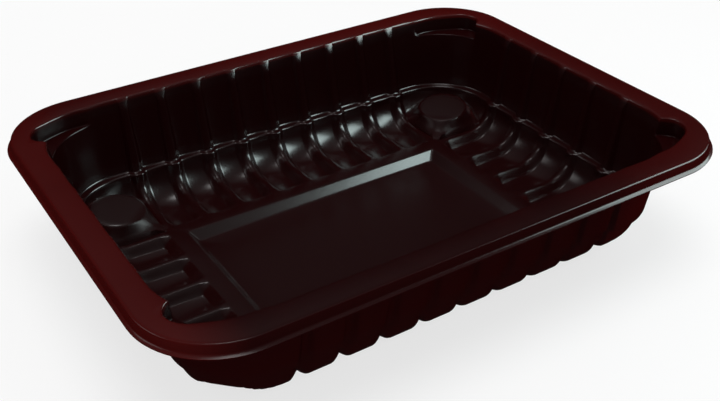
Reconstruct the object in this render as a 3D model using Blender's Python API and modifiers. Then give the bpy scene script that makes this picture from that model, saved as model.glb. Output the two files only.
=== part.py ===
"""Sealable food tray, 190 x 144 mm: one thermoformed sheet with a sealing flange.

The tray is a loft.  Closed rings run round it, one inside the other, from the lip
under the flange down to the floor.  Each ring is worked out from two section lines
through the wall, one over a panel and one over a rib, and the ribs are where the ring
crosses from the first line to the second.  Solidify then gives the sheet its gauge.

Lengths are in millimetres until to_metres() at the very end.  Depths are measured
down from the flat top of the flange, insets inward from the outer edge of the lip.
"""
import math

import bmesh
import bpy

MM = 0.001

# Outside and sheet
LENGTH = 190.0            # lip to lip, along X
WIDTH = 144.0             # lip to lip, along Y
SHEET = 0.45              # gauge of the formed sheet
DEPTH = 38.0              # flange top to the floor of the centre recess
FRAME_DEPTH = 35.0        # flange top to the frame round the recess

# Flange and lip
LIP_DROP = 3.2            # lip edge below the flange top
LIP_FOOT = (1.1, 2.75)    # inset and depth of the fillet where the lip turns out
FLANGE_EDGE = 1.45        # inset of the flange's outer edge
FLANGE_WIDTH = 8.2
LIP_RADIUS = 25.0         # corner radius of the lip in plan
FLANGE_RADIUS = 23.5
OPENING = FLANGE_EDGE + FLANGE_WIDTH
OPENING_RADIUS = 25.0

# Upper wall, ledge and lower wall
LEDGE_DEPTH = 25.9
LEDGE_RUN = 2.1
LEDGE_FALL = 0.3
WALL_LEAN = 3.8 / LEDGE_DEPTH        # inset gained for each millimetre of depth
COVE_RADIUS = DEPTH - LEDGE_DEPTH - LEDGE_FALL - 0.85
FRAME_OUTER = 39.9                   # inset of the frame's outer edge
FRAME_FOOT_RADIUS = 2.0              # corner radius where the valleys' ends meet the floor
FRAME_INNER = 45.6                   # inset of the recess's upper edge
RECESS_FLOOR = 48.2                  # inset of the recess's lower edge
RECESS_CORNER = 0.6                  # its corners are cut off by this much

# Ribs: they stand in from the wall and run on as ridges over the floor
LONG_RIBS, LONG_PITCH = 9, 13.33
SHORT_RIBS, SHORT_PITCH = 5, 14.8
RIB_TOP_DEPTH = 3.65                 # the sloped facet at each rib's top ends here
RIB_TOP_PROUD = 0.95
RIB_LEDGE_PROUD = 1.75

# Corner recesses under the flange, which keep stacked trays apart
NEST_DEPTH = 6.0
NEST_CENTRE = (75.0, 48.6)
NEST_RADIUS = 11.8
NEST_END_ANGLE = 24.0                # degrees, where the recess stops square
NEST_LEAN = 0.05

# Round pads in the inner corners
PAD_CENTRE = (65.5, 40.3)
PAD_RADIUS = 9.6
PAD_DEPTH = 28.2
PAD_TILT = 0.14                      # rise toward the corner for each millimetre
PAD_SKIRT = 2.5                      # fall of its skirt for each millimetre
PAD_SIDE = 3.3                       # the same for the two flat sides
PAD_SIDES_AT = (55.0, 32.0)

HALF = (LENGTH / 2, WIDTH / 2)
CORNER_ANGLES = (0, 16.3, 22, 25.5, 35, 45, 54, 64, 73.7, 90)
SPLIT_ANGLE = 45
FIT_GAP = 0.5                        # least space between neighbouring ring points
SAME_PLACE = 0.001                   # ring points closer than this are one point

COLOUR = (0.030, 0.018, 0.018, 1.0)


class Row:
    """One ring: where it lies over a panel, over a rib, and how wide a rib is in it."""

    def __init__(self, inset, depth, radius=None, rib=None, root=0.0, crest=0.0, role="wall"):
        self.inset = inset
        self.depth = depth
        self.radius = OPENING + OPENING_RADIUS - inset if radius is None else radius
        self.rib_inset, self.rib_depth = rib if rib else (inset, depth)
        self.root = root
        self.crest = crest
        self.role = role


def wall_inset(depth):
    """Inset of the upper wall's panels at a depth."""
    return OPENING + WALL_LEAN * depth


def cove_point(angle):
    """Inset and depth on the quarter-round cove between ledge and floor."""
    run = wall_inset(LEDGE_DEPTH) + LEDGE_RUN + COVE_RADIUS
    turn = math.radians(angle)
    return (run - COVE_RADIUS * math.cos(turn),
            DEPTH - COVE_RADIUS + COVE_RADIUS * math.sin(turn))


def outer_rows():
    """Rings of the lip and the flange's outer edge; the ribs don't reach them."""
    return [
        Row(0.0, LIP_DROP, LIP_RADIUS, role="flange"),
        Row(*LIP_FOOT, LIP_RADIUS - LIP_FOOT[0], role="flange"),
        Row(FLANGE_EDGE, 0.0, FLANGE_RADIUS, role="flange"),
    ]


def wall_rows():
    """Rings from the opening down to the frame round the centre recess."""
    ledge = wall_inset(LEDGE_DEPTH)
    top_rib = wall_inset(RIB_TOP_DEPTH) + RIB_TOP_PROUD
    nest_rib = wall_inset(NEST_DEPTH) + RIB_TOP_PROUD + 0.05
    rows = [
        Row(OPENING, 0.0, root=2.1, crest=1.9, role="opening"),
        Row(wall_inset(RIB_TOP_DEPTH), RIB_TOP_DEPTH, rib=(top_rib, RIB_TOP_DEPTH),
            root=2.0, crest=0.9, role="nest back"),
        Row(wall_inset(NEST_DEPTH), NEST_DEPTH, rib=(nest_rib, NEST_DEPTH),
            root=2.1, crest=0.9, role="nest front"),
        Row(ledge, LEDGE_DEPTH, rib=(ledge + RIB_LEDGE_PROUD, LEDGE_DEPTH),
            root=3.0, crest=1.0),
        Row(ledge + LEDGE_RUN, LEDGE_DEPTH + LEDGE_FALL,
            rib=(ledge + RIB_LEDGE_PROUD + 1.7, LEDGE_DEPTH + LEDGE_FALL),
            root=3.2, crest=0.9, role="pad"),
    ]
    ridge = ((17.3, 30.1), (18.5, 32.3), (20.6, 34.2), (23.4, 34.85), (26.4, FRAME_DEPTH))
    widths = ((3.3, 0.7), (3.4, 0.5), (3.4, 0.4), (3.5, 0.35), (3.5, 0.5))
    for angle, rib, (root, crest) in zip((18, 34, 52, 72, 90), ridge, widths):
        rows.append(Row(*cove_point(angle), rib=rib, root=root, crest=crest, role="pad"))
    fall = DEPTH - FRAME_DEPTH
    rows.append(Row(FRAME_OUTER - fall, DEPTH, FRAME_FOOT_RADIUS,
                    rib=(FRAME_OUTER - fall, FRAME_DEPTH), root=3.5, crest=1.45, role="pad"))
    rows.append(Row(FRAME_OUTER, FRAME_DEPTH, 0.0, root=3.0, crest=1.6))
    return rows


def pad_depth(x, y):
    """Depth of the corner pad's surface under a point, large where there is no pad."""
    ax, ay = abs(x), abs(y)
    dx, dy = ax - PAD_CENTRE[0], ay - PAD_CENTRE[1]
    toward = (dx + dy) / math.sqrt(2)
    top = PAD_DEPTH - PAD_TILT * toward
    skirt = PAD_SKIRT * max(math.hypot(dx, dy) - PAD_RADIUS, 0.0)
    sides = [FRAME_DEPTH - PAD_SIDE * (a - at) for a, at in zip((ax, ay), PAD_SIDES_AT)]
    return max(top + skirt, *sides)


def nest_radius(angle, depth):
    """Distance of a corner recess's wall from the corner's centre, along a ray."""
    cx, cy = corner_centre(OPENING, OPENING_RADIUS)
    ox, oy = NEST_CENTRE[0] - cx, NEST_CENTRE[1] - cy
    turn = math.radians(angle)
    along = ox * math.cos(turn) + oy * math.sin(turn)
    room = along * along - (ox * ox + oy * oy - NEST_RADIUS ** 2)
    reach = along + math.sqrt(room) if room > 0 else 0.0
    return reach - NEST_LEAN * depth if angle > NEST_END_ANGLE else 0.0


def corner_centre(inset, radius):
    """Centre of a ring's corner arc, in the quarter with X and Y positive."""
    return HALF[0] - inset - radius, HALF[1] - inset - radius


def flange_point(row, angle):
    """An outer ring's point on a ray from the opening's corner centre, same quarter."""
    fx, fy = corner_centre(OPENING, OPENING_RADIUS)
    ox, oy = corner_centre(row.inset, row.radius)
    dx, dy = math.cos(math.radians(angle)), math.sin(math.radians(angle))
    along = (ox - fx) * dx + (oy - fy) * dy
    reach = along + math.sqrt(along ** 2 + row.radius ** 2 - (ox - fx) ** 2 - (oy - fy) ** 2)
    if fy + reach * dy < oy:
        reach = (HALF[0] - row.inset - fx) / dx
    elif fx + reach * dx < ox:
        reach = (HALF[1] - row.inset - fy) / dy
    return fx + reach * dx, fy + reach * dy, -row.depth


def corner_point(row, angle):
    """A ring's point on the corner arc, in the quarter with X and Y positive."""
    if row.role == "flange":
        return flange_point(row, angle)
    radius, depth = row.radius, row.depth
    if row.role in ("opening", "nest back"):
        reach = nest_radius(angle, NEST_DEPTH if row.role == "nest back" else 0.0)
        if row.role == "nest back" and reach > radius:
            depth = NEST_DEPTH
        radius = max(radius, reach)
    cx, cy = corner_centre(row.inset, row.radius)
    turn = math.radians(angle)
    x, y = cx + radius * math.cos(turn), cy + radius * math.sin(turn)
    if row.role == "pad":
        depth = min(depth, pad_depth(x, y))
    return x, y, -depth


def side_stations(ribs, pitch):
    """Stations along one side: (rib centre, -1 or 1, kind), and panel middles."""
    stations = []
    first = -(ribs - 1) / 2
    for k in range(ribs):
        centre = (first + k) * pitch
        stations += [(centre, -1, "root"), (centre, -1, "crest"),
                     (centre, 1, "crest"), (centre, 1, "root")]
        if k < ribs - 1:
            stations.append((centre + pitch / 2, 0, "panel"))
    return stations


def side_point(row, station, along_half, across_half):
    """A ring's point on a straight side, as (along, out, height)."""
    centre, sign, kind = station
    end = along_half - row.inset - row.radius
    width = {"root": row.root, "crest": row.crest, "panel": 0.0}[kind]
    along = centre + sign * width
    limit = end - FIT_GAP * (1 if kind == "root" else 2)
    along = max(-limit, min(limit, along))
    inset, depth = row.inset, row.depth
    if kind == "crest":
        inset, depth = row.rib_inset, row.rib_depth
    out = across_half - inset
    return along, out, -depth


def with_pad(row, point):
    """Raise a ring's point onto the corner pad where the pad stands above it."""
    x, y, z = point
    if row.role == "pad":
        z = max(z, -pad_depth(x, y))
    return x, y, z


SIDES = (
    # number of ribs, pitch, half length along the side, half width across, world axes
    (SHORT_RIBS, SHORT_PITCH, HALF[1], HALF[0], lambda a, o: (o, a)),
    (LONG_RIBS, LONG_PITCH, HALF[0], HALF[1], lambda a, o: (-a, o)),
    (SHORT_RIBS, SHORT_PITCH, HALF[1], HALF[0], lambda a, o: (-o, -a)),
    (LONG_RIBS, LONG_PITCH, HALF[0], HALF[1], lambda a, o: (a, -o)),
)
CORNER_SIGNS = ((1, 1), (-1, 1), (-1, -1), (1, -1))


def ring(row, coarse=False):
    """All points of one ring, anticlockwise from the right-hand side's lower end."""
    points = []
    for side, (ribs, pitch, along_half, across_half, place) in enumerate(SIDES):
        for station in side_stations(ribs, pitch):
            if coarse and station[2] != "panel":
                continue
            along, out, z = side_point(row, station, along_half, across_half)
            points.append(with_pad(row, (*place(along, out), z)))
        sx, sy = CORNER_SIGNS[side]
        angles = CORNER_ANGLES if sx * sy > 0 else CORNER_ANGLES[::-1]
        for angle in angles:
            x, y, z = corner_point(row, angle)
            points.append((sx * x, sy * y, z))
    return points


def ring_marks():
    """For each fine ring column: is it kept in a coarse ring, and is it a corner's middle."""
    kept, middles = [], []
    for side, (ribs, pitch, *_rest) in enumerate(SIDES):
        for station in side_stations(ribs, pitch):
            kept.append(station[2] == "panel")
            middles.append(False)
        for angle in CORNER_ANGLES if side % 2 == 0 else CORNER_ANGLES[::-1]:
            kept.append(True)
            middles.append(angle == SPLIT_ANGLE)
    return kept, middles


def add_loop(mesh, points):
    """Vertices of a ring; neighbours at the same place share one vertex."""
    loop = []
    for point in points:
        same = loop and math.dist(loop[-1].co, point) < SAME_PLACE
        loop.append(loop[-1] if same else mesh.verts.new(point))
    return loop


def add_face(mesh, corners):
    """A face without the corners that repeat, or none where only an edge is left."""
    kept = list(dict.fromkeys(corners))
    if len(kept) > 2:
        mesh.faces.new(kept)


def bridge(mesh, outer, inner):
    """Quads between two rings with the same columns, facing up and inward."""
    count = len(outer)
    for i in range(count):
        j = (i + 1) % count
        add_face(mesh, (outer[i], outer[j], inner[j], inner[i]))


def fan(mesh, outer, inner):
    """Triangles from the two ends of one outer edge to a run of inner points."""
    middle = (len(inner) - 1) // 2
    for i in range(len(inner) - 1):
        apex = outer[0] if i < middle else outer[1]
        mesh.faces.new((apex, inner[i + 1], inner[i]))
    mesh.faces.new((outer[0], outer[1], inner[middle]))


def bridge_coarse(mesh, coarse, fine, kept):
    """Join a ring with few columns to one with all of them."""
    columns = [i for i, keep in enumerate(kept) if keep]
    count = len(columns)
    for c in range(count):
        a, b = columns[c], columns[(c + 1) % count]
        span = b - a if b > a else b - a + len(fine)
        run = [fine[(a + s) % len(fine)] for s in range(span + 1)]
        pair = (coarse[c], coarse[(c + 1) % count])
        if len(run) == 2:
            mesh.faces.new((*pair, run[1], run[0]))
        else:
            fan(mesh, pair, run)


def recess_loop(inset, depth):
    """An outline of the recess: a rectangle with its corners cut off, anticlockwise."""
    x, y = HALF[0] - inset, HALF[1] - inset
    points = []
    for sx, sy in CORNER_SIGNS:
        pair = [(sx * x, sy * (y - RECESS_CORNER), -depth), (sx * (x - RECESS_CORNER), sy * y, -depth)]
        points += pair if sx * sy > 0 else pair[::-1]
    return points


def frame_and_recess(mesh, edge, middles):
    """The flat frame round the recess, the recess's sloped sides and its floor."""
    corners = [i for i, middle in enumerate(middles) if middle]
    top = add_loop(mesh, recess_loop(FRAME_INNER, FRAME_DEPTH))
    floor = add_loop(mesh, recess_loop(RECESS_FLOOR, DEPTH))
    count = len(edge)
    for side in range(4):
        first, last = corners[side], corners[(side + 1) % 4]
        span = last - first if last > first else last - first + count
        run = [edge[(first + s) % count] for s in range(span + 1)]
        a, b = top[2 * side + 1], top[(2 * side + 2) % len(top)]
        middle = len(run) // 2
        for i in range(len(run) - 1):
            add_face(mesh, (run[i], run[i + 1], a if i < middle else b))
        mesh.faces.new((run[middle], b, a))
        mesh.faces.new((run[0], a, top[2 * side]))
    bridge(mesh, top, floor)
    mesh.faces.new(floor)


def tray_surface():
    """The sheet's upper face, as an open mesh."""
    mesh = bmesh.new()
    kept, middles = ring_marks()
    loops = [add_loop(mesh, ring(row, coarse=True)) for row in outer_rows()]
    for outer, inner in zip(loops, loops[1:]):
        bridge(mesh, outer, inner)
    fine = [add_loop(mesh, ring(row)) for row in wall_rows()]
    bridge_coarse(mesh, loops[-1], fine[0], kept)
    for outer, inner in zip(fine, fine[1:]):
        bridge(mesh, outer, inner)
    frame_and_recess(mesh, fine[-1], middles)
    return mesh


def to_metres(mesh):
    """Scale to metres, and lift the sheet so that its underside rests at zero."""
    for vert in mesh.verts:
        vert.co.z += DEPTH + SHEET
        vert.co *= MM


def tray_material():
    material = bpy.data.materials.new("black_plastic")
    material.use_nodes = True
    shader = material.node_tree.nodes["Principled BSDF"]
    shader.inputs["Base Color"].default_value = COLOUR
    shader.inputs["Roughness"].default_value = 0.22
    shader.inputs["Metallic"].default_value = 0.0
    return material


def add_tray(collection):
    surface = tray_surface()
    to_metres(surface)
    data = bpy.data.meshes.new("tray")
    surface.to_mesh(data)
    surface.free()
    data.materials.append(tray_material())
    tray = bpy.data.objects.new("tray", data)
    collection.objects.link(tray)
    sheet = tray.modifiers.new("sheet", "SOLIDIFY")
    sheet.thickness = SHEET * MM
    sheet.offset = -1.0
    sheet.use_even_offset = True
    sheet.use_rim = True
    data.shade_smooth()
    data.set_sharp_from_angle(angle=math.radians(25))
    return tray


def main():
    for old in list(bpy.data.objects):
        bpy.data.objects.remove(old, do_unlink=True)
    collection = bpy.data.collections.new("food_tray")
    bpy.context.scene.collection.children.link(collection)
    add_tray(collection)


main()
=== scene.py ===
# %% [markdown]
# # A sealable food tray of glossy near-black plastic
#
# The object is one sheet of plastic, 0.45 mm thick, that was warmed and drawn into a mould.
# Everything on it is a fold in that one sheet: the sealing flange with its turned-down lip,
# the ribs that stiffen the walls, the ledge, the ridges over the floor, the round pads in the
# corners and the flat recess in the middle.
#
# So it is modelled as the sheet is made: first a skin without thickness, then the gauge.

# %% Load the fixed frame
import math

import bpy
import numpy as np
from mathutils import Matrix, Vector


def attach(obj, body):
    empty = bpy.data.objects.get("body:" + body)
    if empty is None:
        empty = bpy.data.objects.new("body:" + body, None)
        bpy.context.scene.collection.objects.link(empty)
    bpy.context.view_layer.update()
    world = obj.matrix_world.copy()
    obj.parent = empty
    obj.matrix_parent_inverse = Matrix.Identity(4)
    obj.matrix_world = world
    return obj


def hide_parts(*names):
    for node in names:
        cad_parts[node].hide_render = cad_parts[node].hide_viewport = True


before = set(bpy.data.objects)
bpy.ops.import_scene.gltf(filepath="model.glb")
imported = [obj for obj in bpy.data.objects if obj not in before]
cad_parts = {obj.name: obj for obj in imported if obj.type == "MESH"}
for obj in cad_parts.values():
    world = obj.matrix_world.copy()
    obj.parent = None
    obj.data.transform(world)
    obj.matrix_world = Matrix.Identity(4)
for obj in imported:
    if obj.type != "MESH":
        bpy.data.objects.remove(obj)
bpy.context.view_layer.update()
bpy.ops.object.select_all(action="DESELECT")

# %% [markdown]
# ## The sizes
#
# A mould maker draws a tray as a section through its wall, and says how far in from the lip and
# how deep below the flange each corner of the section lies.  The same two numbers are used here:
# an inset and a depth, in millimetres.  The tray is the standard 190 x 144 mm format.

# %% Sizes in millimetres
MM = 0.001
HALF = np.array((95.0, 72.0))        # half of the length and the width, lip to lip
SHEET = 0.45                         # gauge
DEPTH, FRAME_DEPTH = 38.0, 35.0      # the recess's floor, and the flat frame round it
LIFT = DEPTH + SHEET                 # the underside rests at zero

FLANGE_EDGE, OPENING = 1.45, 9.65    # insets of the flat flange's two edges
OPENING_RADIUS = 25.0
LEDGE_DEPTH, LEDGE_RUN, LEDGE_FALL = 25.9, 2.1, 0.3
WALL_RUN = 3.8                       # how far the wall leans in on its way down to the ledge
COVE_STEP = 0.85                     # the upright strip between the ledge and the cove
COVE_RADIUS = DEPTH - LEDGE_DEPTH - LEDGE_FALL - COVE_STEP
COVE_END = OPENING + WALL_RUN + LEDGE_RUN + COVE_RADIUS
FRAME_OUTER, FRAME_INNER, RECESS_FLOOR = 39.9, 45.6, 48.2
FRAME_CORNER, RECESS_CORNER = 1.0, 0.7                   # radii in plan
FOOT = FRAME_OUTER - (DEPTH - FRAME_DEPTH)               # where the valleys start to climb


def wall_inset(depth):
    """Inset of the upper wall between the ribs."""
    return OPENING + WALL_RUN / LEDGE_DEPTH * depth


print("cove radius", round(COVE_RADIUS, 2), "mm, ending", round(COVE_END, 2), "mm in")

# %% [markdown]
# ## The section, over a panel and over a rib
#
# Along most of the wall the section is that of a flat panel.  At a rib the sheet stands in by a
# millimetre or two, and lower down the rib runs on as a ridge over the floor.  So each row of the
# section holds both: where the panel is, where the rib is, how wide the rib is there (half its
# foot, half its crest), the corner's radius in plan, and how softly the sheet bends on that row.
#
# It could be done with a rib modelled once and repeated, but then the joints with the wall would
# show as creases.  A rib that is only a bend of the ring itself has no joints.

# %% One row of the section


class Row:
    """One ring of the skin."""

    def __init__(self, inset, depth, radius=None, rib=None, foot=2.1, crest=1.9, bend=0.0,
                 part="wall", straight=0.2):
        self.inset, self.depth = inset, depth
        self.radius = OPENING + OPENING_RADIUS - inset if radius is None else radius
        self.rib_inset, self.rib_depth = rib or (inset, depth)
        self.foot, self.crest, self.bend, self.part = foot, crest, bend, part
        self.straight = straight         # 0: the rib's flank is an S, 1: a plane


def on_wall(depth, stands_in, **more):
    """A row of the upper wall, where a rib stands in from the panel."""
    return Row(wall_inset(depth), depth, rib=(wall_inset(depth) + stands_in, depth), **more)


print("wall inset at the ledge", round(on_wall(LEDGE_DEPTH, 0).inset, 2), "mm")

# %% [markdown]
# ## Flange and upper wall
#
# The flange is where the film is sealed on, so it is flat, and its outer edge turns down to a lip
# that keeps it stiff.  The wall below it leans in so that the tray leaves its mould and fits into
# another one, and ends on a narrow ledge.
#
# Each of these could be a mesh of its own, bridged to the next.  As rows of one list they keep the
# order that the sheet has, and no edge has to be found and joined.

# %% Rows of the flange and the upper wall
# Each row starts with its inset and its depth; on the flange its corner radius follows.
FLANGE_ROWS = [Row(0.0, 3.2, 25.0, part="flange"),
               Row(1.1, 2.75, 23.9, bend=0.5, part="flange"),
               Row(FLANGE_EDGE, 0.0, 23.5, bend=0.55, part="flange"),
               Row(5.0, 0.0, 24.2, part="flange")]
LEDGE = wall_inset(LEDGE_DEPTH)
WALL_ROWS = [Row(OPENING, 0.0, bend=0.8, part="opening"),
             on_wall(3.65, 0.95, foot=2.0, crest=0.9, bend=0.6, part="nest back"),
             on_wall(6.0, 1.0, foot=2.1, crest=0.9, bend=0.6, part="nest front"),
             on_wall(16.0, 1.4, foot=2.6, crest=0.95),
             on_wall(LEDGE_DEPTH, 1.75, foot=3.0, crest=1.0, bend=0.7),
             Row(LEDGE + LEDGE_RUN, LEDGE_DEPTH + LEDGE_FALL, rib=(LEDGE + 3.45, 26.2), foot=3.2,
                 crest=0.9, bend=0.8, part="pad")]
print(len(FLANGE_ROWS), "rows on the flange,", len(WALL_ROWS), "on the wall")

# %% [markdown]
# ## Cove and floor
#
# Between ledge and floor the panel is a quarter-round, the cove, and the rib is a flatter curve
# inside it.  On the floor the ribs run on as ridges, level with the flat frame, and the valleys
# between them lie as deep as the recess and climb to the frame at their ends.
#
# A quarter-round could be left to the Bevel modifier, but the ridges need rings of their own on
# it, so it is worked out with sine and cosine, and the ridge with a small table.

# %% Rows of the cove and the floor
RIDGE_ANGLES = (0, 14, 26, 39, 54, 72, 90)               # degrees round the cove
RIDGE_INSETS = (16.9, 17.05, 17.9, 19.3, 21.2, 23.6, 26.4)
RIDGE_DEPTHS = (26.2, 29.0, 31.0, 32.5, 33.8, 34.7, 35.0)
RIDGE_FEET = (3.2, 3.3, 3.4, 3.4, 3.4, 3.5, 3.5)
RIDGE_CRESTS = (0.9, 0.7, 0.5, 0.4, 0.35, 0.35, 0.5)
COVE_TURN = 4.5                      # degrees between two rings
VALLEY_RINGS, VALLEY_CORNER = 15, 2.0
LAST_RING = RECESS_FLOOR + 8         # inside it the recess's floor is one flat face


def cove_rows():
    """Rings on the quarter-round between the ledge and the floor."""
    rows = []
    for angle in np.arange(COVE_TURN, 90 + COVE_TURN / 2, COVE_TURN):
        turn = math.radians(angle)
        across = [np.interp(angle, RIDGE_ANGLES, line)
                  for line in (RIDGE_INSETS, RIDGE_DEPTHS, RIDGE_FEET, RIDGE_CRESTS)]
        rows.append(Row(COVE_END - COVE_RADIUS * math.cos(turn),
                        DEPTH - COVE_RADIUS + COVE_RADIUS * math.sin(turn),
                        rib=across[:2], foot=across[2], crest=across[3], part="pad", straight=0.0))
    return rows


def floor_rows():
    """Rings over the flat valley floors, up their sloped ends and down into the recess."""
    rows, start = [], OPENING + OPENING_RADIUS - COVE_END
    for share in np.linspace(0, 1, VALLEY_RINGS + 1)[1:]:
        inset = COVE_END + (FOOT - COVE_END) * share
        rows.append(Row(inset, DEPTH, start + (VALLEY_CORNER - start) * share,
                        rib=(inset, FRAME_DEPTH), foot=3.5, crest=0.5 + 0.45 * share, part="pad",
                        straight=0.8 * share))
    rows[-1].bend = 0.5
    inner = {"foot": 3.0, "crest": 1.6}
    return rows + [Row(FRAME_OUTER, FRAME_DEPTH, FRAME_CORNER, bend=0.5, **inner),
                   Row(FRAME_INNER, FRAME_DEPTH, 0.8, bend=0.35, **inner),
                   Row(RECESS_FLOOR, DEPTH, RECESS_CORNER, bend=0.5, **inner),
                   Row(LAST_RING, DEPTH, RECESS_CORNER, **inner)]


ROWS = FLANGE_ROWS + WALL_ROWS + cove_rows() + floor_rows()
print(len(ROWS), "rows before the bends are rounded")

# %% [markdown]
# ## The columns
#
# Going round, a column of points stands at each place where the ring changes direction: several
# on each flank of a rib, from its foot to its crest, one in the middle of each panel, and a few
# past the last rib, where the corner's pad begins.  The corners get a fan of columns, closer
# together where the stacking recess under the flange stops square.
#
# Evenly spaced columns would be simpler, but most of them would lie idle on flat panels, and the
# flanks of the ribs would still be coarse.

# %% Columns along a side
LONG_RIBS, LONG_PITCH = 9, 13.33
SHORT_RIBS, SHORT_PITCH = 5, 14.8
FLANK = (0.0, 0.12, 0.3, 0.5, 0.7, 0.88, 1.0)            # shares of the way from foot to crest
LAST_FOOT = 3.5                      # from the last rib's centre to its foot
PAST_LAST = (0.17, 0.34, 0.51, 0.68, 0.85)               # shares of the way on to the corner


def side_columns(ribs, pitch, straight):
    """(rib centre, side of the rib, share of the flank, order) for each column along one side."""
    rank = dict(zip(FLANK, range(1, len(FLANK) + 1)))
    columns, last = [], (ribs - 1) / 2 * pitch + LAST_FOOT
    for rib in range(ribs):
        centre = (rib - (ribs - 1) / 2) * pitch
        columns += [(centre, -1, share, rank[share]) for share in FLANK]
        columns += [(centre, 1, share, rank[share]) for share in reversed(FLANK)]
        if rib < ribs - 1:
            columns.append((centre + pitch / 2, 0, 0.0, 1))
    for share in PAST_LAST:
        at, order = last + (straight - last) * share, 1 - share
        columns = [(-at, 0, 0.0, order)] + columns + [(at, 0, 0.0, order)]
    return columns


print(len(FLANK), "columns on each flank,", len(PAST_LAST), "past the last rib")

# %% Columns round the ring
CORNER_ANGLES = np.unique(np.r_[0:18:3.3, 19.5, 21.5:25.5:0.5, 26.5, 28:88:3.2, 87.5, 90])
# Each side has ribs, a pitch, the axis that it runs along, and a turn of (along, out) to (x, y).
SIDES = ((SHORT_RIBS, SHORT_PITCH, 1, lambda along, out: (out, along)),
         (LONG_RIBS, LONG_PITCH, 0, lambda along, out: (-along, out)),
         (SHORT_RIBS, SHORT_PITCH, 1, lambda along, out: (-out, -along)),
         (LONG_RIBS, LONG_PITCH, 0, lambda along, out: (along, -out)))
SIGNS = ((1, 1), (-1, 1), (-1, -1), (1, -1))             # the corner that follows each side

COLUMNS = []                         # (side, column) on a side, (corner, angle) in a corner
for number, (ribs, pitch, axis, _place) in enumerate(SIDES):
    straight = HALF[axis] - OPENING - OPENING_RADIUS
    COLUMNS += [("side", number, column) for column in side_columns(ribs, pitch, straight)]
    turned = SIGNS[number][0] * SIGNS[number][1] < 0
    angles = CORNER_ANGLES[::-1] if turned else CORNER_ANGLES
    COLUMNS += [("corner", number, angle) for angle in angles]
print(len(COLUMNS), "columns,", len(CORNER_ANGLES), "of them in each corner")

# %% [markdown]
# ## The stacking recesses
#
# Under the flange each corner has a recess cut back into the flange's width, on which the next
# tray of a stack rests.  Its back is given as a small table, a bearing and a distance from the
# corner's centre: it runs out smoothly on the long side and stops square on the short side.
# Cut with a Boolean, it would leave slivers along the flange, which this way stays one skin.

# %% Back of a stacking recess
NEST_DEPTH, NEST_LEAN, NEST_END = 6.0, 0.02, 21.0        # depth, lean, bearing of its square end
NEST_ANGLES = (21, 22, 23, 24, 25, 26.5, 29, 32, 36, 41, 46, 52, 58, 64, 70, 76, 82)
NEST_REACHES = (22, 24.6, 26.4, 27.6, 28.5, 29.4, 30.2, 30.7, 30.9,
                30.4, 29.3, 28.3, 27.5, 26.7, 25.8, 24.9, 24.0)


def nest_radius(angle, depth):
    """How far the recess's back lies from the corner's centre along a ray."""
    if angle <= NEST_END:
        return 0.0
    return np.interp(angle, NEST_ANGLES, NEST_REACHES) - NEST_LEAN * depth


print("recess cut back by", round(max(NEST_REACHES) - OPENING_RADIUS, 2), "mm at most")

# %% [markdown]
# ## The round pads
#
# Lower down, each inner corner has a flat round pad that stands up from the floor, tilted a
# little towards the middle.  Its skirt runs out like the foot of a hill onto a low step that ends
# square at the frame.  The sheet lies on whichever is higher, the cove or the pad, and the two are
# blended over a short width, because a drawn sheet has no sharp valley.
#
# A disc could also be added and joined with a Boolean, but its edge would be a crease, and the
# skirt would still have to be blended by hand.

# %% The pad's rim and skirt
PAD_FOOT = HALF - FRAME_OUTER        # the square corner of the step under the pad
PAD_CENTRE, PAD_RADIUS = PAD_FOOT + 11.2, 9.2
PAD_SKIRT, SKIRT_BACK = 4.8, 12.0    # how far the skirt runs to the floor, and to the wall
SQUARE, LEAST_SLOPE = 6, 0.02        # how square the skirt's foot is in plan


def skirt_run(away, gap):
    """How far the skirt runs out in one direction: short at its sides, long at its corner."""
    inward = np.maximum(-away / gap, LEAST_SLOPE) / (PAD_CENTRE - PAD_FOOT)
    outward = max(0.0, sum(away) / gap - 1)
    run = (inward ** SQUARE).sum() ** (-1 / SQUARE) - PAD_RADIUS
    return min(run, PAD_SKIRT) + SKIRT_BACK * outward


print("pad rim", PAD_RADIUS, "mm round", PAD_CENTRE)

# %% The pad's height
PAD_DEPTH, PAD_LOWEST, PAD_TILT = 29.2, 32.5, 0.14
PAD_RIM, SKIRT_CURVE = 0.08, 1.6     # how soft the rim is, how hollow the skirt
STEP_DEPTH, STEP_SIDE = 34.3, 6.0    # the low step, and how steep its side is
VALLEY, NEAR = 0.30, 2.0             # width of the blend, and how near the two have to be


def pad_depth(x, y):
    """Depth of the corner pad, its skirt and the low step that it stands on."""
    point = np.array((abs(x), abs(y)))
    away = point - PAD_CENTRE
    gap = max(math.hypot(*away), 1e-6)
    top = min(PAD_DEPTH - PAD_TILT * sum(away) / math.sqrt(2), PAD_LOWEST)
    past = PAD_RIM * np.logaddexp(0, (gap - PAD_RADIUS) / skirt_run(away, gap) / PAD_RIM)
    fall = 1 - max(0.0, 1 - past) ** SKIRT_CURVE
    side = FRAME_DEPTH - STEP_SIDE * (point - PAD_FOOT)
    return max(top + (STEP_DEPTH - top) * fall, *side)


def soft_min(a, b, width):
    """The smaller of two depths, with the meeting rounded over a width."""
    return -np.logaddexp(-a / width, -b / width) * width


def on_pad(row, x, y, depth):
    """The higher of the sheet and the pad, where the row can meet a pad."""
    if row.part != "pad":
        return depth
    pad = pad_depth(x, y)
    return float(soft_min(depth, pad, VALLEY)) if pad < depth + NEAR else depth


print("pad stands", round(DEPTH - pad_depth(*PAD_CENTRE), 2), "mm above the valleys")

# %% [markdown]
# ## Rings that follow the pad's rim
#
# The rings of the floor cross the round rim at a slant, and a slanting edge between two rings
# shows as a row of steps.  So the points near the rim are drawn in towards it.

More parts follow.
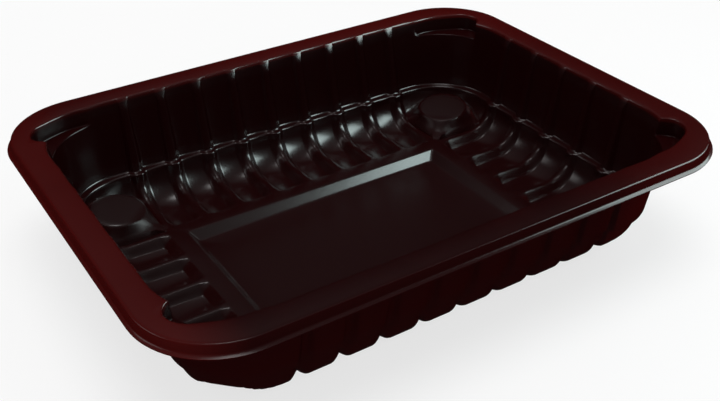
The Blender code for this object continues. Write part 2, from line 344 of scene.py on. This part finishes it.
# %% Draw points to the rim
RIM_PULL, RIM_REACH, RIM_FADE = 0.75, 0.8, 2.2           # share, width, and where it ends
RIM_FROM, RIM_FULL = 34.0, 37.0      # depths of the sheet between which the pull sets in


def towards_rim(row, x, y):
    """Draw the points near the pad's rim closer to it, so that the rim is crisp."""
    if row.part != "pad" or row.depth < RIM_FROM:
        return x, y
    middle = PAD_CENTRE * np.sign((x, y))
    away = np.array((x, y)) - middle
    gap = max(math.hypot(*away), 1e-6)
    past = gap - PAD_RADIUS
    shift = RIM_PULL * RIM_REACH * math.tanh(past / RIM_REACH) * math.exp(-(past / RIM_FADE) ** 2)
    share = min((row.depth - RIM_FROM) / (RIM_FULL - RIM_FROM), 1.0)
    return middle + away * (1 - shift * share / gap)


print("points up to", RIM_FADE, "mm from a rim are drawn to it")

# %% [markdown]
# ## From row and column to a point on a side
#
# A rib's flank is a ramp from its foot to its crest.  High on the wall it is nearly a plane.  Down
# in the cove the sheet bends out of the wall and back into the crest in one S, and that is where
# such a tray gets its thin bright lines from.  `s_bend` is that curve, and each row says how much
# of it is used.

# %% Points on a side
COLUMN_GAP = 0.1                     # least distance between two columns


def s_bend(share):
    """0 at the foot, 1 on the crest, level at both ends."""
    return share * share * (3 - 2 * share)


def clamp(value, limit):
    """The value, kept between -limit and limit."""
    return max(-limit, min(limit, value))


def side_point(row, number, column):
    """Where a row and a column meet on one of the four sides."""
    _ribs, _pitch, axis, place = SIDES[number]
    centre, sign, share, order = column
    along = centre + sign * (row.foot + (row.crest - row.foot) * share)
    end = HALF[axis] - row.inset - row.radius
    if row.inset > FRAME_OUTER:          # inside the frame the columns only draw together
        room = HALF[axis] - FRAME_OUTER - FRAME_CORNER
        along = clamp(along, room - COLUMN_GAP * order) * end / room
    else:
        along = clamp(along, end - COLUMN_GAP * order)
    rise = s_bend(share) * (1 - row.straight) + share * row.straight
    inset = row.inset + (row.rib_inset - row.inset) * rise
    depth = row.depth + (row.rib_depth - row.depth) * rise
    x, y = place(along, HALF[1 - axis] - inset)
    if order < 1:
        x, y = towards_rim(row, x, y)
    return x, y, -on_pad(row, x, y, depth)


print("half-way up a flank the sheet has risen by", s_bend(0.5))

# %% [markdown]
# ## From row and column to a point in a corner
#
# In a corner a column is a ray.  Each ring of the wall has its own corner centre, so the ray
# starts there.  The flange's rings don't share the opening's centre, so for them the ray from the
# opening's centre is cut with the ring, and the columns stay straight from the opening to the lip.

# %% Points in a corner


def corner_centre(inset, radius):
    """Centre of a corner's round, for the corner with x and y above zero."""
    return HALF - inset - radius


def flange_reach(row, angle):
    """Where a ray from the opening's corner centre crosses a ring of the flange."""
    start, own = corner_centre(OPENING, OPENING_RADIUS), corner_centre(row.inset, row.radius)
    ray = np.array((math.cos(math.radians(angle)), math.sin(math.radians(angle))))
    gap = own - start
    reach = gap @ ray + math.sqrt((gap @ ray) ** 2 + row.radius ** 2 - gap @ gap)
    hit = start + reach * ray
    if hit[1] < own[1]:
        reach = (HALF[0] - row.inset - start[0]) / ray[0]
    elif hit[0] < own[0]:
        reach = (HALF[1] - row.inset - start[1]) / ray[1]
    return start + reach * ray


def corner_point(row, number, angle):
    """Where a row and a ray meet in one of the four corners."""
    sx, sy = SIGNS[number]
    if row.part == "flange":
        x, y = flange_reach(row, angle)
        return sx * x, sy * y, -row.depth
    radius, depth = row.radius, row.depth
    if row.part in ("opening", "nest back"):
        reach = nest_radius(angle, NEST_DEPTH if row.part == "nest back" else 0.0)
        if row.part == "nest back" and reach > radius:
            depth = NEST_DEPTH
        radius = max(radius, reach)
    turn = math.radians(angle)
    ray = np.array((math.cos(turn), math.sin(turn)))
    x, y = corner_centre(row.inset, row.radius) + radius * ray
    x, y = towards_rim(row, x, y)
    return sx * x, sy * y, -on_pad(row, x, y, depth)


print("corner centre of the opening, mm:", corner_centre(OPENING, OPENING_RADIUS))

# %% [markdown]
# ## Rounding the bends
#
# A drawn sheet has no sharp edge: it bends round the mould.  The Bevel modifier would round each
# edge by the same width, also where two bends lie close together.  Here each ring that bends is
# replaced by a few on a short curve, no longer than just under half of the way to its neighbours.

# %% Rings of the skin
BEND_RINGS, BEND_SHARE = 4, 0.45


def ring(row):
    """All points of one row, once round the tray."""
    return [side_point(row, n, at) if kind == "side" else corner_point(row, n, at)
            for kind, n, at in COLUMNS]


def rounded(rings, bends):
    """Replace each ring that has a bend by a few that run round it."""
    out = []
    for i, bend in enumerate(bends):
        if not bend:
            out.append(rings[i])
            continue
        ends = []
        for step in (rings[i - 1] - rings[i], rings[i + 1] - rings[i]):
            length = np.maximum(np.linalg.norm(step, axis=1, keepdims=True), 1e-6)
            ends.append(rings[i] + step * np.minimum(bend / length, BEND_SHARE))
        for t in np.linspace(0, 1, BEND_RINGS):
            out.append(ends[0] * (1 - t) ** 2 + rings[i] * 2 * t * (1 - t) + ends[1] * t ** 2)
    return out


SKIN = rounded([np.array(ring(row)) for row in ROWS], [row.bend for row in ROWS])
print(len(SKIN), "rings of", len(COLUMNS), "points")

# %% [markdown]
# ## Drawing the skin
#
# By hand this is a circle that is extruded again and again, each new ring moved to its place in
# the section.  A circle is added with one vertex for each column and extruded once for each ring,
# and the last ring is closed with one flat face, the bottom of the recess.  Spin would do the same
# in one go, but only for a round tray.

# %% Extrude the rings
STEP, START_RADIUS = 0.01, 0.1       # metres, only until the points get their places
bpy.ops.mesh.primitive_circle_add(vertices=len(COLUMNS), radius=START_RADIUS,
                                  fill_type="NOTHING")
tray = bpy.context.object
tray.name = tray.data.name = "tray_body"
bpy.ops.object.mode_set(mode="EDIT")
bpy.ops.mesh.select_all(action="SELECT")
for _ring in SKIN[1:]:
    bpy.ops.mesh.extrude_region_move(TRANSFORM_OT_translate={"value": (0, 0, -STEP)})
bpy.ops.mesh.edge_face_add()
bpy.ops.object.mode_set(mode="OBJECT")
print("tube:", len(tray.data.vertices), "vertices,", len(tray.data.polygons), "faces")

# %% [markdown]
# ## Each vertex to its place
#
# The tube's vertices are known by their height, which tells the ring, and by their bearing, which
# tells the column.  Each goes to its point of the skin.

# %% Shape the tube into the skin
flat = np.zeros(len(tray.data.vertices) * 3)
tray.data.vertices.foreach_get("co", flat)
start = flat.reshape(-1, 3)
bearing = np.arctan2(start[:, 1], start[:, 0]) / (2 * math.pi) * len(COLUMNS)
which_column = np.round(bearing).astype(int) % len(COLUMNS)
which_ring = np.round(-start[:, 2] / STEP).astype(int)
points = np.array(SKIN)[which_ring, which_column] * MM
points[:, 2] += LIFT * MM
tray.data.vertices.foreach_set("co", points.ravel())
tray.data.update()
print("skin from", round(points[:, 2].min() / MM, 2), "to", round(points[:, 2].max() / MM, 2), "mm")

# %% [markdown]
# ## The gauge
#
# The skin is the tray's upper face.  Its faces have to look up and inward before the sheet gets
# its thickness, so that the thickness goes to the outside and the opening keeps its size.  The
# skin could also be copied and scaled, but then the wall would be thin where it is steep.

# %% Give the sheet its thickness
SMOOTH_ANGLE = math.radians(50)      # the sheet's cut edge stays sharp
TO_OUTSIDE = -1.0                    # the side of the skin that the thickness goes to

bpy.ops.object.mode_set(mode="EDIT")
bpy.ops.mesh.select_all(action="SELECT")
bpy.ops.mesh.normals_make_consistent(inside=False)
bpy.ops.object.mode_set(mode="OBJECT")
floor_face = max(tray.data.polygons, key=lambda face: len(face.vertices))
if floor_face.normal.z < 0:
    bpy.ops.object.mode_set(mode="EDIT")
    bpy.ops.mesh.select_all(action="SELECT")
    bpy.ops.mesh.flip_normals()
    bpy.ops.object.mode_set(mode="OBJECT")

gauge = tray.modifiers.new("gauge", "SOLIDIFY")
gauge.thickness = SHEET * MM
gauge.offset = TO_OUTSIDE
gauge.use_rim = True
bpy.ops.object.modifier_apply(modifier=gauge.name)
bpy.ops.object.shade_smooth_by_angle(angle=SMOOTH_ANGLE)
tray.data.calc_loop_triangles()
heights = [vertex.co.z / MM for vertex in tray.data.vertices]
print("tray:", len(tray.data.loop_triangles), "triangles, z", round(min(heights), 3), "to",
      round(max(heights), 3), "mm")

# %% [markdown]
# ## Shader maths in plain Python
#
# `Wire` wraps one output of a node.  Adding or multiplying wires adds the Math nodes for it, so
# a mask can be written as an expression.

# %% A small class for shader expressions


class Wire:
    """One output of a node, in the node tree that is being built."""
    tree = None

    def __init__(self, socket):
        self.socket = socket

    @staticmethod
    def feed(node, inputs):
        """Fill inputs of a node with values or wires."""
        for key, value in inputs.items():
            if isinstance(value, Wire):
                Wire.tree.links.new(value.socket, node.inputs[key])
            else:
                node.inputs[key].default_value = value

    @staticmethod
    def node(kind, settings=None, inputs=None, out=0):
        """Add a node, set it up, fill its inputs and return one output."""
        made = Wire.tree.nodes.new(kind)
        for name, value in (settings or {}).items():
            setattr(made, name, value)
        Wire.feed(made, inputs or {})
        return Wire(made.outputs[out])

    def math(self, operation, *others):
        values = dict(enumerate((self, *others)))
        return Wire.node("ShaderNodeMath", {"operation": operation}, values)

    def __add__(self, other):
        return self.math("ADD", other)

    def __sub__(self, other):
        return self.math("SUBTRACT", other)

    def __rsub__(self, other):
        return Wire.node("ShaderNodeMath", {"operation": "SUBTRACT"}, {0: other, 1: self})

    def __mul__(self, other):
        return self.math("MULTIPLY", other)

    __radd__, __rmul__ = __add__, __mul__

    def most(self, other):
        return self.math("MAXIMUM", other)

    def least(self, other):
        return self.math("MINIMUM", other)

    def ramp(self, low, high):
        """0 below low, 1 above high, smooth between."""
        return Wire.node("ShaderNodeMapRange", {"interpolation_type": "SMOOTHSTEP"},
                         {"Value": self, "From Min": low, "From Max": high})

    def parts(self):
        """The three numbers of a vector."""
        separate = Wire.node("ShaderNodeSeparateXYZ", inputs={0: self}).socket.node
        return [Wire(socket) for socket in separate.outputs]

    def noise(self, scale, detail=2.0):
        return Wire.node("ShaderNodeTexNoise",
                         inputs={"Vector": self, "Scale": scale, "Detail": detail})


def length(one, other):
    """Length of the way that goes so far one way and so far the other."""
    return (one * one + other * other).math("SQRT")


print("shader expressions ready")

# %% [markdown]
# ## Where on the tray
#
# The finish isn't the same all over: the flange carries a painted glow of light passing the sheet,
# the walls have lost their gloss, and the pads are matt.  Each of these places is a mask, 1 on it
# and 0 off it, worked out from Object coordinates in millimetres.  Masks could also be painted, but
# a formula stays sharp at any distance.

# %% Start the plastic, and take the coordinates
plastic = bpy.data.materials.new("black_plastic")
plastic.use_nodes = True
Wire.tree = plastic.node_tree
place = Wire.node("ShaderNodeTexCoord", out="Object")
across, along, height = (part * (1 / MM) for part in place.parts())
beside = [wire.math("ABSOLUTE") for wire in (across, along)]
print("coordinates in mm, up to", HALF)

# %% Masks of the flange and the walls
CORE, LIP_REACH = (70.0, 47.0), (22.2, 23.2)             # the lip lies this far round the core
LIP_HEIGHT, FLANGE_HEIGHT = (34.5, 35.2), (36.8, 37.6)
WALL_FOOT, WALL_TOP = (14.0, 16.5), (33.0, 35.5)
BASE_HEIGHT = (5.0, 12.0)
OUTWARD = (10.0, 35.0)               # how much the surface faces away from the tray's middle

round_core = length(*((wire - at).most(0.0) for wire, at in zip(beside, CORE)))
lip = round_core.ramp(*LIP_REACH) * height.ramp(*LIP_HEIGHT)
flange = height.ramp(*FLANGE_HEIGHT).most(lip)
walls = height.ramp(*WALL_FOOT) * (1 - height.ramp(*WALL_TOP))
base = 1 - height.ramp(*BASE_HEIGHT)
facing = Wire.node("ShaderNodeTexCoord", out="Normal").parts()
outside = (facing[0] * across + facing[1] * along).ramp(*OUTWARD)
print("wall mask between", WALL_FOOT[0], "and", WALL_TOP[1], "mm up")

# %% Masks of the pads
DISC_REACH, SKIRT_REACH = (8.8, 8.4), (-7.0, -12.0)
STEP_EDGE = 0.3                      # softness of the mask at the step's side
SKIRT_SHARE = 0.6                    # the skirt is less matt than the disc
LOW_FROM, LOW_TO = (3.0, 3.4), (12.0, 13.0)

to_pad = [wire - at for wire, at in zip(beside, PAD_CENTRE)]
disc = length(*to_pad).ramp(*DISC_REACH)
skirt = (to_pad[0] + to_pad[1]).ramp(*SKIRT_REACH)
for wire, at in zip(beside, PAD_FOOT):
    skirt = skirt * wire.ramp(at - STEP_EDGE, at + STEP_EDGE)
low = (1 - height.ramp(*LOW_TO)) * height.ramp(*LOW_FROM)
skirt_low = skirt * low
pad = disc.most(skirt * SKIRT_SHARE) * low
print("pad mask within", DISC_REACH[0], "mm of", PAD_CENTRE)

# %% [markdown]
# ## The plastic's colour, and its painted glow
#
# Such trays are polypropylene coloured almost black, and where light passes the thin sheet it shows
# as a dark red-brown.  That glow is painted light here: the colour goes from the dark one to the
# red one by how much light is taken to pass, more on the flange, above all at its far side, its
# left and its right end, as if lit from behind, and a little on the outside of the walls.

# %% Colour, with the painted glow
DARK = (0.0105, 0.0008, 0.0010, 1.0)
# the colour of the painted glow, light that passes the thin sheet
GLOW_RED = (0.0560, 0.0022, 0.0018, 1.0)
FAR_SIDE, FAR_ALONG = (-45.0, 60.0), (-80.0, 60.0)
LEFT_END, RIGHT_END, OUTER_END = (70.0, 90.0), (15.0, 80.0), (45.0, 74.0)
# Painted light: these shares set how strong the painted glow is at each place.
FAR_RED, FAR_MORE, RIGHT_RED = 0.45, 0.45, 0.56          # shares of the red, by place
LEFT_RED, LEFT_LESS = 0.70, 0.40
OUTER_RED, OUTER_MORE, CLOUD_RED = 0.07, 0.40, 0.3
CLOUD_SCALE, CLOUD_DETAIL = 38.0, 3.0                    # slow changes in the sheet's thickness

far = along.ramp(*FAR_SIDE)
left = (across * -1.0).ramp(*LEFT_END)
cloud = place.noise(CLOUD_SCALE, CLOUD_DETAIL)
# Painted light: the glow of light passing the sheet, painted into the colour by place; the cloud
# adds random changes of the sheet's thickness to it.
at_far = far * (FAR_RED + across.ramp(*FAR_ALONG) * FAR_MORE)
at_left = left * (LEFT_RED - far * LEFT_LESS)
lit = at_far.most(across.ramp(*RIGHT_END) * RIGHT_RED) + at_left
painted_glow_walls = outside * (OUTER_RED + across.ramp(*OUTER_END) * OUTER_MORE)
painted_glow = painted_glow_walls.most(flange * (lit + (cloud - 0.5) * CLOUD_RED))
colour = Wire.node("ShaderNodeMix", {"data_type": "RGBA"},
                   {"Factor": painted_glow, "A": DARK, "B": GLOW_RED}, out="Result")
print("red of the sheet from", DARK[0], "to", GLOW_RED[0])

# %% [markdown]
# ## The plastic's gloss
#
# The sheet is glossy, but not a mirror.  The mould leaves a fine grain where the sheet touched
# it, and the drawn sheet is slightly wavy.  Walls, lip and the pads' skirts mirror much less, so
# there a second shader without any mirror is mixed in.  The mix is steered by a mask, because the
# specular level itself has to stay one number.

# %% Gloss
SPECULAR_IOR = 1.49                  # polypropylene
DULL_WALLS, DULL_SKIRT, DULL_LIP = 0.65, 0.6, 0.45
GRAIN_SCALE, WAVE_SCALE = 2600.0, 95.0
ROUGH, ROUGH_CLOUD, ROUGH_GRAIN, ROUGH_BASE, ROUGH_PAD = 0.16, 0.07, 0.03, 0.03, 0.24
BUMP, BUMP_DISTANCE, BUMP_WAVE, BUMP_GRAIN = 0.2, 0.0004, 0.5, 0.012

grain = place.noise(GRAIN_SCALE)
relief = place.noise(WAVE_SCALE) * BUMP_WAVE + grain * BUMP_GRAIN
rough = ROUGH + cloud * ROUGH_CLOUD + grain * ROUGH_GRAIN + base * ROUGH_BASE + pad * ROUGH_PAD
bumped = Wire.node("ShaderNodeBump", inputs={"Strength": BUMP, "Distance": BUMP_DISTANCE,
                                             "Height": relief})
surface = {"Base Color": colour, "Roughness": rough, "Normal": bumped}
glossy = plastic.node_tree.nodes["Principled BSDF"]
Wire.feed(glossy, {"IOR": SPECULAR_IOR, **surface})
dull = Wire.node("ShaderNodeBsdfPrincipled", inputs={"Specular IOR Level": 0.0, **surface})
dullness = walls * DULL_WALLS + skirt_low * DULL_SKIRT + lip * DULL_LIP
mixed = Wire.node("ShaderNodeMixShader", inputs={0: dullness, 1: Wire(glossy.outputs[0]), 2: dull})
Wire.feed(plastic.node_tree.nodes["Material Output"], {"Surface": mixed})
tray.data.materials.clear()
tray.data.materials.append(plastic)
print("plastic nodes:", len(plastic.node_tree.nodes))

# %% [markdown]
# ## Standing in for the CAD solid
#
# The finished sheet replaces the plain solid of the same size, and moves with it.

# %% Take the solid's place
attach(tray, "root")
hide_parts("tray")
print("tray_body replaces tray")

# %% [markdown]
# ## The floor
#
# A packshot of something black is taken on a pale sheet that is lit from below, so that the
# ground stays white right up to the object.  Here the floor itself gives light.  Rays that come
# off the gloss don't see it, or the outside of the walls would mirror it as a white band.

# %% Floor
FLOOR_SIZE, FLOOR_DROP = 6.0, 0.0001                     # metres; the tray's base stays above it
FLOOR_COLOUR, FLOOR_ROUGH, FLOOR_LIGHT = (0.22, 0.22, 0.22, 1), 0.9, 0.72
bpy.ops.mesh.primitive_plane_add(size=FLOOR_SIZE, location=(0, 0, -FLOOR_DROP))
ground = bpy.context.object
ground.name = "ground"
paper = bpy.data.materials.new("paper")
paper.use_nodes = True
Wire.tree = paper.node_tree
Wire.feed(paper.node_tree.nodes["Principled BSDF"],
          {"Base Color": FLOOR_COLOUR, "Roughness": FLOOR_ROUGH,
           "Emission Color": (1, 1, 1, 1), "Emission Strength": FLOOR_LIGHT})
ground.data.materials.append(paper)
ground.visible_glossy = False
print("floor", FLOOR_SIZE, "m wide")

# %% [markdown]
# ## The lights
#
# Black gloss shows only what it mirrors, so the boxes are placed for their reflections: one in
# front on the right for the far side of the recess and the hollows under the ledge, one at the
# back on the left for the flange, and one overhead for the floor of the recess.  They give no
# other light.  That comes from a broad, soft sun, which stands for a bright ceiling.  A picture of
# a studio as the world would be quicker, but then no box could be moved by itself.

# %% Lights
AIM = (0.02, 0.02, 0.01)
CEILING_STRENGTH, CEILING_SPREAD = 1.6, math.radians(40)


def put_light(name, kind):
    """A light of some kind in the scene, still at the origin."""
    lamp = bpy.data.objects.new(name, bpy.data.lights.new(name, kind))
    bpy.context.scene.collection.objects.link(lamp)
    return lamp


def soft_box(name, place, size, radiance, colour=(1.0, 1.0, 1.0)):
    """A soft box that only the gloss sees, and that looks at the tray."""
    lamp = put_light(name, "AREA")
    lamp.data.shape, lamp.data.size, lamp.data.size_y = "RECTANGLE", *size
    lamp.data.energy, lamp.data.color = radiance * math.pi * size[0] * size[1], colour
    lamp.location = place
    lamp.rotation_mode = "QUATERNION"
    lamp.rotation_quaternion = (Vector(place) - Vector(AIM)).to_track_quat("Z", "Y")
    lamp.visible_diffuse = False


soft_box("front_right_box", place=(0.222, -0.107, 0.165), size=(0.18, 0.14), radiance=11.5,
         colour=(0.80, 1.0, 0.99))
soft_box("back_left_box", place=(-0.60, 0.27, 0.48), size=(0.40, 0.30), radiance=2.0)
soft_box("overhead_box", place=(-0.02, 0.0, 1.2), size=(0.30, 0.30), radiance=6.0)
ceiling = put_light("ceiling", "SUN")
ceiling.data.energy, ceiling.data.angle = CEILING_STRENGTH, CEILING_SPREAD
ceiling.visible_glossy = False

# %% [markdown]
# ## The room
#
# What is neither box nor floor is the room.  To the gloss it is almost black, a little brighter
# high up and dark towards the right, and all other rays see an even, pale grey.

# %% World
GLOSS_LOW, GLOSS_HIGH, GLOSS_FROM = 0.006, 0.3, 0.42     # strength, its growth, from which height
DARK_FROM, DARK_FALL = 0.78, 2.5     # where the dark side begins, and how fast it falls
ROOM_LIGHT = 0.58

world = bpy.data.worlds.new("studio")
bpy.context.scene.world = world
world.use_nodes = True
Wire.tree = world.node_tree
gloss_ray = Wire.node("ShaderNodeLightPath", out="Is Glossy Ray")
sideways, _depth, upwards = Wire.node("ShaderNodeTexCoord", out="Generated").parts()
high_up = (upwards - GLOSS_FROM).most(0.0) * GLOSS_HIGH
open_side = ((DARK_FROM - sideways) * DARK_FALL).least(1.0).most(0.0)
strength = gloss_ray * ((GLOSS_LOW + high_up) * open_side) + (1 - gloss_ray) * ROOM_LIGHT
Wire.feed(world.node_tree.nodes["Background"], {"Color": (1, 1, 1, 1), "Strength": strength})
bpy.context.scene.view_settings.view_transform = "Standard"
print("room light", ROOM_LIGHT)

# %% [markdown]
# ## The camera
#
# It stands in front of the tray on the left, about 32 cm off, and looks down at it by 33 degrees.
# It is turned by its own axes, to its right, down and ahead, rather than by three angles, because
# then it is plain which way each of them points in the room.

# %% Camera
RIGHT, DOWN = (0.8425, -0.5386, -0.0108), (-0.2977, -0.4488, -0.8426)
EYE = (-0.14427, -0.23010, 0.14734 + LIFT * MM)
SENSOR, LENS = 36.0, 49.52           # millimetres
NEAREST, FARTHEST = 0.01, 20.0       # metres

camera_data = bpy.data.cameras.new("camera")
camera_data.sensor_width, camera_data.lens = SENSOR, LENS
camera_data.clip_start, camera_data.clip_end = NEAREST, FARTHEST
camera = bpy.data.objects.new("camera", camera_data)
bpy.context.scene.collection.objects.link(camera)
right_axis, down_axis = Vector(RIGHT).normalized(), Vector(DOWN).normalized()
ahead = right_axis.cross(down_axis).normalized()
camera.rotation_mode = "QUATERNION"
camera.rotation_quaternion = Matrix((right_axis, -down_axis, -ahead)).transposed().to_quaternion()
camera.location = EYE
bpy.context.scene.camera = camera
print("camera at", [round(x, 3) for x in camera.location], "looking", [round(x, 3) for x in ahead])
